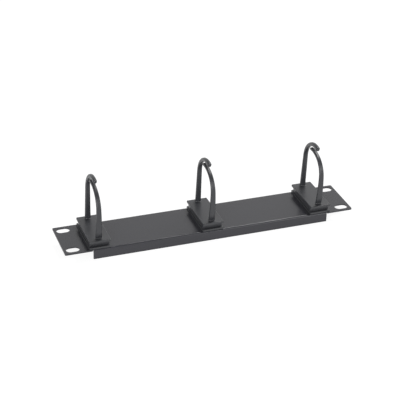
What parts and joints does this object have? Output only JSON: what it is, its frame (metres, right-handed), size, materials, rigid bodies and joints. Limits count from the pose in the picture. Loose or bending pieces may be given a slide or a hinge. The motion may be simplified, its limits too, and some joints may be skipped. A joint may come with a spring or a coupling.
{
  "type": "horizontal cable manager",
  "caption": "One-unit rack panel of folded sheet with slotted ears, carrying open-top cable rings along its face to hold patch cables in a horizontal run.",
  "frame": {"origin": "centre of the four rack slots, on the rear plane of the ears that meets the rack rails", "axes": "+X along the panel, +Y towards its upper edge in the rack, +Z out of its face, where the rings stand"},
  "size_m": [0.252, 0.0436, 0.0651],
  "materials": {
    "powder_coated_steel": "dark grey powder coat, low sheen",
    "ring_plastic": "moulded, satin charcoal",
    "zinc_hardware": "bright zinc plate"
  },
  "bodies": {
    "root": {"face_panel": "powder_coated_steel", "ring_left": "ring_plastic", "washer_left_lower": "zinc_hardware", "screw_left_lower": "zinc_hardware", "washer_left_upper": "zinc_hardware", "screw_left_upper": "zinc_hardware", "ring_center": "ring_plastic", "washer_center_lower": "zinc_hardware", "screw_center_lower": "zinc_hardware", "washer_center_upper": "zinc_hardware", "screw_center_upper": "zinc_hardware", "ring_right": "ring_plastic", "washer_right_lower": "zinc_hardware", "screw_right_lower": "zinc_hardware", "washer_right_upper": "zinc_hardware", "screw_right_upper": "zinc_hardware"}
  },
  "joints": []
}
